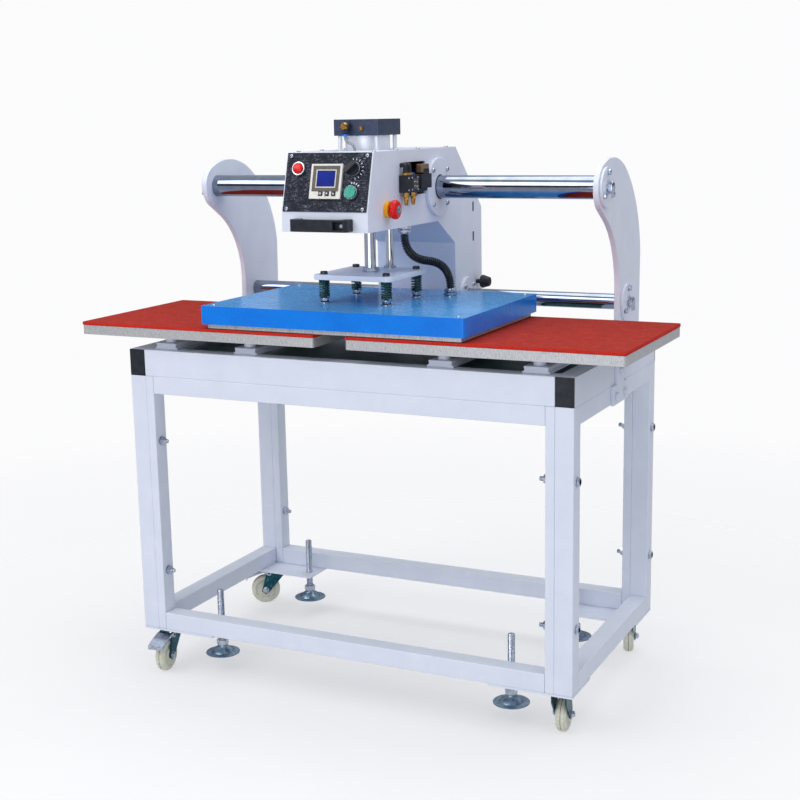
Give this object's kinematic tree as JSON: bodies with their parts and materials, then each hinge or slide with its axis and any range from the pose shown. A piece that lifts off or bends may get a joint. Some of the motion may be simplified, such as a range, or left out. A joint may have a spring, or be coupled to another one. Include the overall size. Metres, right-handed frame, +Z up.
{
  "type": "heat press",
  "caption": "Pneumatic sliding heat press: a heated plate on a head that rides two shafts across paired padded platens, on a wheeled steel table with levelling feet.",
  "frame": {"origin": "on the floor under the middle of the machine's bounding box", "axes": "+X to the right along the shafts as the operator faces the machine, +Y to the back, +Z up"},
  "size_m": [1.277, 0.6549, 1.269],
  "materials": {
    "aluminium": "sawn",
    "black_panel": "scuffed satin black",
    "black_plastic": "matte",
    "blue_paint": "gloss",
    "blue_plastic": "gloss",
    "brass": "bright",
    "chrome": "hard chrome",
    "conduit_black": "gloss",
    "controller_case": "gloss",
    "fork_teal": "dark passivated zinc",
    "green_panel": "dark green satin",
    "green_plastic": "gloss",
    "hose_grey": "satin",
    "key_black": "matte",
    "nylon": "satin",
    "red_plastic": "gloss",
    "rubber_black": "matte",
    "silicone_red": "matte silicone",
    "slate": "anodised slate blue",
    "spring_green": "dark green gloss",
    "white_paint": "powder coat, semi gloss",
    "yellow_plastic": "gloss",
    "zinc": "zinc plated"
  },
  "bodies": {
    "stand": {"upper_frame": "white_paint", "rail_end_caps": "black_plastic", "table_panel": "green_panel", "side_frames": "white_paint", "cross_frames": "white_paint", "corner_plates": "white_paint", "frame_bolts": "zinc", "joint_plates": "white_paint", "platens": "aluminium", "pads": "silicone_red", "platen_bars": "white_paint", "end_plates": "white_paint", "end_discs": "white_paint", "end_bolts": "zinc", "shafts": "chrome"},
    "head": {"head_shell": "white_paint", "head_bearings": "white_paint", "head_screws": "zinc", "cylinder": "aluminium", "cylinder_cap": "slate", "air_fittings": "brass", "air_tube": "hose_grey", "conduit": "conduit_black", "control_panel": "black_panel", "controller": "controller_case", "button_bezels": "zinc", "handle": "black_plastic", "estop_collar": "yellow_plastic", "valve": "black_plastic", "head_gland": "zinc", "bumpers": "rubber_black"},
    "press": {"press_plate": "white_paint", "press_rods": "chrome", "springs": "spring_green"},
    "heat_platen": {"heat_cover": "blue_paint", "heat_plate": "aluminium", "spring_bolts": "zinc", "cover_gland": "zinc"},
    "red_button": {"red_button": "red_plastic"},
    "green_button": {"green_button": "green_plastic"},
    "selector_knob": {"selector_knob": "black_plastic"},
    "key_left": {"key_left": "key_black"},
    "key_middle": {"key_middle": "key_black"},
    "key_right": {"key_right": "key_black"},
    "estop_button": {"estop_button": "red_plastic"},
    "valve_button": {"valve_button": "blue_plastic"},
    "fork_front_left": {"fork_front_left": "fork_teal"},
    "wheel_front_left": {"wheel_front_left": "nylon"},
    "foot_front_left": {"foot_front_left": "zinc"},
    "fork_front_right": {"fork_front_right": "fork_teal"},
    "wheel_front_right": {"wheel_front_right": "nylon"},
    "foot_front_right": {"foot_front_right": "zinc"},
    "fork_rear_left": {"fork_rear_left": "fork_teal"},
    "wheel_rear_left": {"wheel_rear_left": "nylon"},
    "foot_rear_left": {"foot_rear_left": "zinc"},
    "fork_rear_right": {"fork_rear_right": "fork_teal"},
    "wheel_rear_right": {"wheel_rear_right": "nylon"},
    "foot_rear_right": {"foot_rear_right": "zinc"},
    "brake_front_left": {"brake_front_left": "zinc"},
    "brake_rear_left": {"brake_rear_left": "zinc"}
  },
  "joints": [
    {"name": "head_slide", "type": "slide", "parent": "stand", "child": "head", "axis": [1, 0, 0], "range_m": [-0.3375, 0.3375]},
    {"name": "press_lift", "type": "slide", "parent": "head", "child": "press", "axis": [0, 0, 1], "range_m": [0, 0.06], "deforming": ["conduit"]},
    {"name": "platen_float", "type": "slide", "parent": "press", "child": "heat_platen", "axis": [0, 0, 1], "range_m": [0, 0.004], "stiffness_N_per_m": 20000, "springref_m": -0.006, "deforming": ["springs"]},
    {"name": "red_button_press", "type": "slide", "parent": "head", "child": "red_button", "axis": [0, 0.9655, -0.2605], "range_m": [0, 0.003], "stiffness_N_per_m": 400},
    {"name": "green_button_press", "type": "slide", "parent": "head", "child": "green_button", "axis": [0, 0.9655, -0.2605], "range_m": [0, 0.003], "stiffness_N_per_m": 400},
    {"name": "key_left_press", "type": "slide", "parent": "head", "child": "key_left", "axis": [0, 0.9655, -0.2605], "range_m": [0, 0.001], "stiffness_N_per_m": 500},
    {"name": "key_middle_press", "type": "slide", "parent": "head", "child": "key_middle", "axis": [0, 0.9655, -0.2605], "range_m": [0, 0.001], "stiffness_N_per_m": 500},
    {"name": "key_right_press", "type": "slide", "parent": "head", "child": "key_right", "axis": [0, 0.9655, -0.2605], "range_m": [0, 0.001], "stiffness_N_per_m": 500},
    {"name": "selector_turn", "type": "hinge", "parent": "head", "child": "selector_knob", "pos_m": [0.06, -0.27494, 1.17041], "axis": [0, -0.9655, 0.2605], "range_deg": [0, 90]},
    {"name": "estop_press", "type": "slide", "parent": "head", "child": "estop_button", "axis": [-1, 0, 0], "range_m": [0, 0.0025], "stiffness_N_per_m": 1500},
    {"name": "valve_button_press", "type": "slide", "parent": "head", "child": "valve_button", "axis": [0, 0, -1], "range_m": [0, 0.002], "stiffness_N_per_m": 400},
    {"name": "castor_turn_front_left", "type": "hinge", "parent": "stand", "child": "fork_front_left", "pos_m": [-0.488, -0.22345, 0.1], "axis": [0, 0, 1], "continuous": true},
    {"name": "wheel_roll_front_left", "type": "hinge", "parent": "fork_front_left", "child": "wheel_front_left", "pos_m": [-0.48459, -0.25124, 0.0375], "axis": [0.9925, 0.1219, 0], "continuous": true},
    {"name": "foot_screw_front_left", "type": "slide", "parent": "stand", "child": "foot_front_left", "axis": [0, 0, 1], "range_m": [-0.038, 0.024]},
    {"name": "castor_turn_front_right", "type": "hinge", "parent": "stand", "child": "fork_front_right", "pos_m": [0.488, -0.22345, 0.1], "axis": [0, 0, 1], "continuous": true},
    {"name": "wheel_roll_front_right", "type": "hinge", "parent": "fork_front_right", "child": "wheel_front_right", "pos_m": [0.48507, -0.1956, 0.0375], "axis": [-0.9945, -0.1045, 0], "continuous": true},
    {"name": "foot_screw_front_right", "type": "slide", "parent": "stand", "child": "foot_front_right", "axis": [0, 0, 1], "range_m": [-0.038, 0.024]},
    {"name": "castor_turn_rear_left", "type": "hinge", "parent": "stand", "child": "fork_rear_left", "pos_m": [-0.488, 0.26255, 0.1], "axis": [0, 0, 1], "continuous": true},
    {"name": "wheel_roll_rear_left", "type": "hinge", "parent": "fork_rear_left", "child": "wheel_rear_left", "pos_m": [-0.512, 0.24813, 0.0375], "axis": [0.515, -0.8572, 0], "continuous": true},
    {"name": "foot_screw_rear_left", "type": "slide", "parent": "stand", "child": "foot_rear_left", "axis": [0, 0, 1], "range_m": [-0.038, 0.024]},
    {"name": "castor_turn_rear_right", "type": "hinge", "parent": "stand", "child": "fork_rear_right", "pos_m": [0.488, 0.26255, 0.1], "axis": [0, 0, 1], "continuous": true},
    {"name": "wheel_roll_rear_right", "type": "hinge", "parent": "fork_rear_right", "child": "wheel_rear_right", "pos_m": [0.48028, 0.28947, 0.0375], "axis": [-0.9613, -0.2756, 0], "continuous": true},
    {"name": "foot_screw_rear_right", "type": "slide", "parent": "stand", "child": "foot_rear_right", "axis": [0, 0, 1], "range_m": [-0.038, 0.024]},
    {"name": "brake_pedal_front_left", "type": "hinge", "parent": "fork_front_left", "child": "brake_front_left", "pos_m": [-0.48581, -0.24132, 0.084], "axis": [0.9925, 0.1219, 0], "range_deg": [0, 7]},
    {"name": "brake_pedal_rear_left", "type": "hinge", "parent": "fork_rear_left", "child": "brake_rear_left", "pos_m": [-0.50343, 0.25328, 0.084], "axis": [0.515, -0.8572, 0], "range_deg": [0, 7]}
  ]
}
